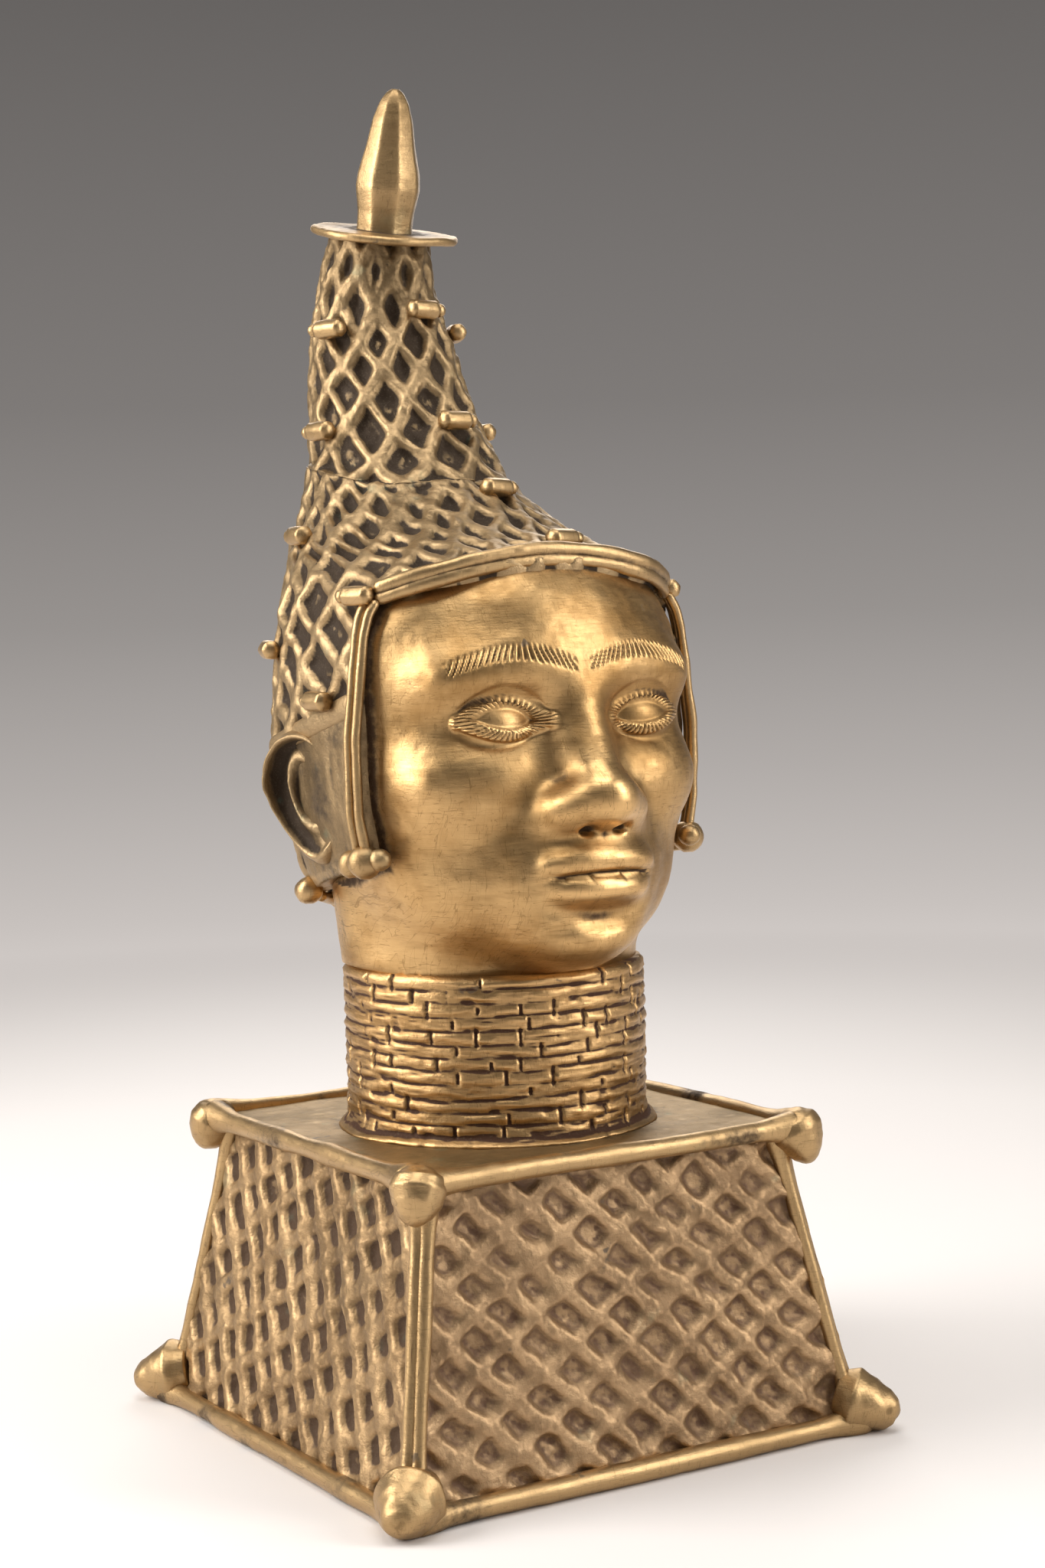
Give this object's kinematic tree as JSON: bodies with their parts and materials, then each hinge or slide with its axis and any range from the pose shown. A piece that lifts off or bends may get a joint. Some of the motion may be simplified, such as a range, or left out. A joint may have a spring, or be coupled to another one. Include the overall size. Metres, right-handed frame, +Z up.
{
  "type": "commemorative head",
  "caption": "Cast bronze head with a tall netted headdress, disc and bud finial, beaded collar, on a tapered lattice plinth with pointed feet.",
  "frame": {"origin": "middle of the plinth's underside, on the surface the head stands on", "axes": "+Z up, the face looks towards -Y, +X is the figure's left"},
  "size_m": [0.2142, 0.2142, 0.4997],
  "materials": {
    "aged_brass": "cast brass, rubbed bright on its raised parts, with dark brown patina in the recesses"
  },
  "bodies": {
    "root": {"commemorative_head": "aged_brass"}
  },
  "joints": []
}
